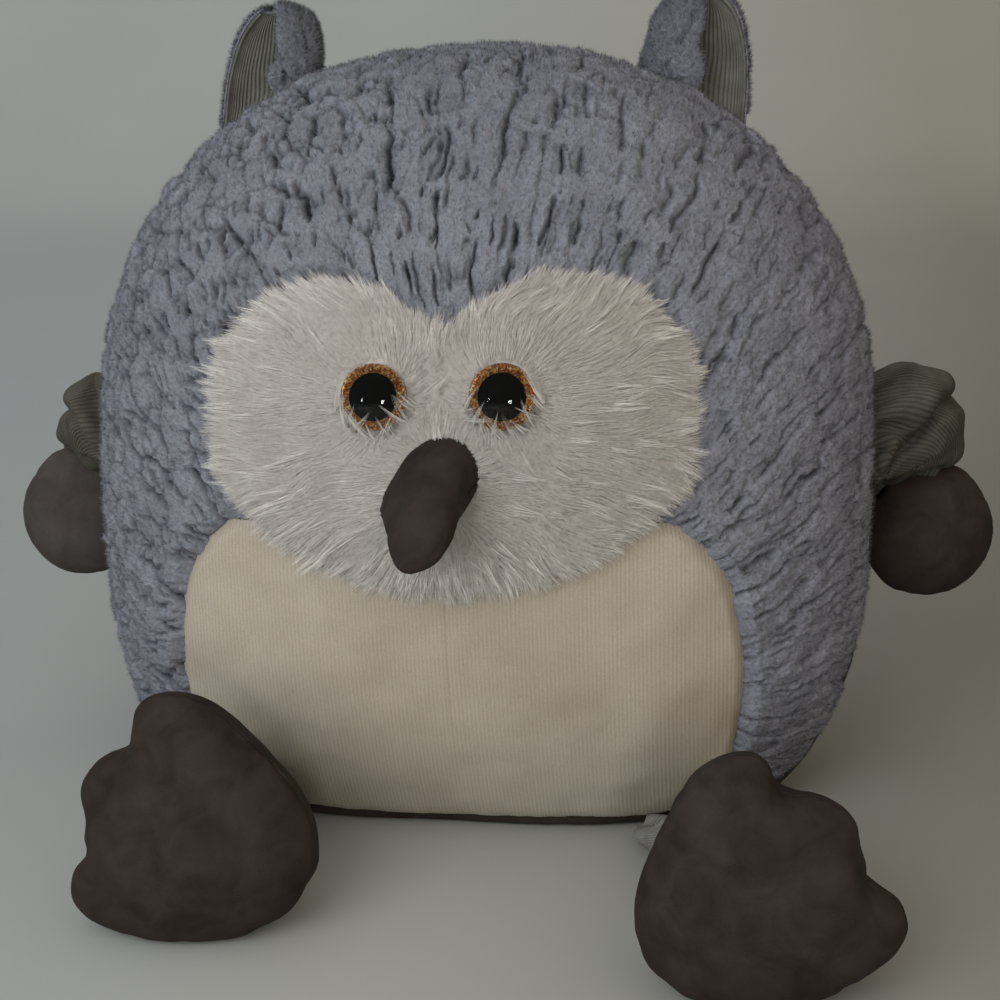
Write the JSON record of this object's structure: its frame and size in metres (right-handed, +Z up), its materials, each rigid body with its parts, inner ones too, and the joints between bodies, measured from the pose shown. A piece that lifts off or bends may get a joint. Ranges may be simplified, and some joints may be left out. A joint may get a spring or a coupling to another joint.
{
  "type": "plush owl",
  "caption": "Seated round plush owl with a padded body, patched face and belly, soft beak, domed eyes, and hinged ears, arms and feet.",
  "frame": {"origin": "middle of the torso's flat seat, on the floor", "axes": "+Z up, -Y the way the face looks, +X the owl's left side"},
  "size_m": [0.4748, 0.299, 0.3541],
  "materials": {
    "lavender_plush": "short crinkled pile",
    "white_plush": "long soft pile",
    "cream_corduroy": "fine ribbed",
    "grey_corduroy": "fine ribbed",
    "dark_velour": "short smooth pile",
    "filling": "loose fibre",
    "clear_dome": "clear",
    "pupil_black": "gloss",
    "iris_amber": "glitter",
    "post_plastic": "moulded"
  },
  "bodies": {
    "torso": {"front_cover": "lavender_plush", "face_patch": "white_plush", "belly_patch": "cream_corduroy", "back_cover": "dark_velour", "body_stuffing": "filling", "beak_cover": "dark_velour", "beak_stuffing": "filling", "eye_left_lens": "clear_dome", "eye_left_pupil": "pupil_black", "eye_left_iris": "iris_amber", "eye_left_post": "post_plastic", "eye_left_washer": "post_plastic", "eye_right_lens": "clear_dome", "eye_right_pupil": "pupil_black", "eye_right_iris": "iris_amber", "eye_right_post": "post_plastic", "eye_right_washer": "post_plastic"},
    "ear_left": {"ear_left_cover": "lavender_plush", "ear_left_lining": "grey_corduroy"},
    "ear_right": {"ear_right_cover": "lavender_plush", "ear_right_lining": "grey_corduroy"},
    "arm_left": {"arm_left_sleeve": "grey_corduroy"},
    "arm_right": {"arm_right_sleeve": "grey_corduroy"},
    "hand_left": {"hand_left_front": "dark_velour", "hand_left_back": "dark_velour", "hand_left_stuffing": "filling"},
    "hand_right": {"hand_right_front": "dark_velour", "hand_right_back": "dark_velour", "hand_right_stuffing": "filling"},
    "leg_left": {"leg_left_sleeve": "grey_corduroy"},
    "leg_right": {"leg_right_sleeve": "grey_corduroy"},
    "foot_left": {"foot_left_sole": "dark_velour", "foot_left_upper": "dark_velour", "foot_left_stuffing": "filling"},
    "foot_right": {"foot_right_sole": "dark_velour", "foot_right_upper": "dark_velour", "foot_right_stuffing": "filling"}
  },
  "joints": [
    {"name": "ear_left_base", "type": "hinge", "parent": "torso", "child": "ear_left", "pos_m": [0.0985, 0.06371, 0.30881], "axis": [0.8651, -0.1128, -0.4887], "range_deg": [-25, 25], "stiffness_Nm_per_rad": 0.005},
    {"name": "ear_right_base", "type": "hinge", "parent": "torso", "child": "ear_right", "pos_m": [-0.0985, 0.06371, 0.30881], "axis": [0.8651, 0.1128, 0.4887], "range_deg": [-25, 25], "stiffness_Nm_per_rad": 0.005},
    {"name": "shoulder_left", "type": "hinge", "parent": "torso", "child": "arm_left", "pos_m": [0.178, 0.02989, 0.16235], "axis": [0, -0.225, -0.9744], "range_deg": [-8, 60], "stiffness_Nm_per_rad": 0.01},
    {"name": "shoulder_right", "type": "hinge", "parent": "torso", "child": "arm_right", "pos_m": [-0.178, 0.02989, 0.16235], "axis": [0, 0.225, 0.9744], "range_deg": [-8, 60], "stiffness_Nm_per_rad": 0.01},
    {"name": "wrist_left", "type": "hinge", "parent": "arm_left", "child": "hand_left", "pos_m": [0.19627, 0.06354, 0.13383], "axis": [0.9511, 0.0695, 0.3011], "range_deg": [-35, 35], "stiffness_Nm_per_rad": 0.006},
    {"name": "wrist_right", "type": "hinge", "parent": "arm_right", "child": "hand_right", "pos_m": [-0.19627, 0.06354, 0.13383], "axis": [0.9511, -0.0695, -0.3011], "range_deg": [-35, 35], "stiffness_Nm_per_rad": 0.006},
    {"name": "hip_left", "type": "hinge", "parent": "torso", "child": "leg_left", "pos_m": [0.1, -0.04219, 0.0065], "axis": [1, 0, 0], "range_deg": [-8, 60]},
    {"name": "hip_right", "type": "hinge", "parent": "torso", "child": "leg_right", "pos_m": [-0.1, -0.04219, 0.0065], "axis": [1, 0, 0], "range_deg": [-8, 60]},
    {"name": "ankle_left", "type": "hinge", "parent": "leg_left", "child": "foot_left", "pos_m": [0.124, -0.13033, 0.03765], "axis": [1, 0, 0], "range_deg": [-15, 15], "stiffness_Nm_per_rad": 0.02},
    {"name": "ankle_right", "type": "hinge", "parent": "leg_right", "child": "foot_right", "pos_m": [-0.092, -0.10433, 0.03813], "axis": [1, 0, 0], "range_deg": [-15, 15], "stiffness_Nm_per_rad": 0.02}
  ]
}
